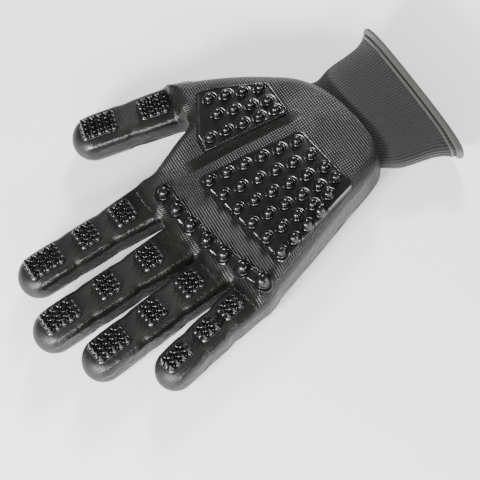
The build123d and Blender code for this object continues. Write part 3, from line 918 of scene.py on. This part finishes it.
ELASTIC_PLACES = [-91.0, -95.0, -99.0, -103.0, -107.0, -111.0]
THREAD_RADIUS = 0.42
THREAD_INSET = CUFF_WALL / 2 + 0.25  # from the middle of the wall
thread_places, thread_quads, _ = joined_rolls([(y, THREAD_RADIUS, -THREAD_INSET) for y in ELASTIC_PLACES])
elastic = make_piece("elastic_threads", thread_places, thread_quads)
elastic.data.materials.append(elastic_finish())
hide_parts("cuff_elastic")
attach(elastic, "cuff")

# as the cuff's rows, from the wrist to deep in the palm
LINING_ROWS = [
    (-78.0, 30.2, 60.0, 12.4, 11.4),
    (-70.0, 31.0, 68.0, 16.5, 12.2),
    (-50.0, 33.0, 84.0, 19.0, 12.4),
    (-34.0, 30.0, 74.0, 15.0, 11.5),
    (-27.0, 29.0, 34.0, 4.0, 11.0),
]
LINING_WALES = 150
lining_rows = smooth_path(np.array(LINING_ROWS) + HAND_ZERO, 30)
lining_rings = np.concatenate([cuff_ring(row, 0.0, angles) for row in lining_rows])
lining_values = np.concatenate([
    np.stack([angles / (2 * pi) * LINING_WALES, np.full_like(angles, row[0]), angles * 0], 1)
    for row in lining_rows
])
lining_quads = tube_quads(len(lining_rows), CUFF_AROUND)[:, ::-1]
lining = make_piece("hand_lining", lining_rings, lining_quads, weave=lining_values)
lining.data.materials.append(CUFF_KNIT)
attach(lining, "palm")

# ---------------------------------------------------------------- Floor, light and camera
# The glove lies palm up on a plain pale table. A wide soft lamp stands past the fingertips, a strip on
# the little finger's side, one lamp between the thumb and the cuff, and a weak one behind the cuff.


def floor_finish():
    """Matt, pale and nearly even."""
    f = Finish("pale floor")
    where = f.node("TexCoord", output="Object")
    f.set(Base_Color=f.mix(f.noise(where, 4.0), (0.93, 0.93, 0.93), (0.96, 0.96, 0.96)), Roughness=0.8,
          Emission_Color=(1, 1, 1, 1), Emission_Strength=0.5)
    return f.material


floor_mesh = bpy.data.meshes.new("floor")
floor_mesh.from_pydata([(-4, -4, 0), (4, -4, 0), (4, 4, 0), (-4, 4, 0)], [], [(0, 1, 2, 3)])
floor = bpy.data.objects.new("floor", floor_mesh)
floor.location.z = -0.0004  # just clear of the glove's back
bpy.context.scene.collection.objects.link(floor)
floor_mesh.materials.append(floor_finish())

# where the camera looks, the way back to it from there, and its up and right
aim = Vector((float(ZERO[0]) * MM, float(ZERO[1]) * MM, 0.015))
back = Vector((-0.4985, 0.1100, 0.8617)).normalized()
up = Vector((0.7217, -0.4970, 0.4770))
up = (up - up.dot(back) * back).normalized()
right = up.cross(back)


LAMP_DISTANCE = 1.0


def area_light(name, direction, size, power):
    """A soft white lamp that faces the glove."""
    data = bpy.data.lights.new(name, "AREA")
    data.shape = "RECTANGLE"
    data.size, data.size_y = size
    data.energy = power
    lamp = bpy.data.objects.new(name, data)
    lamp.location = aim + Vector(direction).normalized() * LAMP_DISTANCE
    lamp.rotation_euler = (aim - lamp.location).to_track_quat("-Z", "Y").to_euler()
    bpy.context.scene.collection.objects.link(lamp)


area_light("key", -up * 0.50 - right * 0.60 + back * 0.66, (0.4, 0.15), 30)
area_light("low strip", -up * 0.60 + right * 0.12 + back * 0.79, (0.6, 0.08), 9)
area_light("top", up * 0.98 + right * 0.08 + back * 0.06, (0.2, 0.14), 12)
area_light("far side", right * 1.0 - up * 0.1 + back * 0.4, (0.3, 0.2), 3)

world = bpy.data.worlds.new("studio")
world.use_nodes = True
world.node_tree.nodes["Background"].inputs["Color"].default_value = (1, 1, 1, 1)
world.node_tree.nodes["Background"].inputs["Strength"].default_value = 0.24
bpy.context.scene.world = world

CAMERA_DISTANCE = 0.8
lens = bpy.data.cameras.new("camera")
lens.lens, lens.sensor_width, lens.clip_start = 120, 36, 0.01
camera = bpy.data.objects.new("camera", lens)
turn = Matrix((right, up, back)).transposed().to_4x4()
camera.matrix_world = Matrix.Translation(aim + back * CAMERA_DISTANCE) @ turn
bpy.context.scene.collection.objects.link(camera)
bpy.context.scene.camera = camera
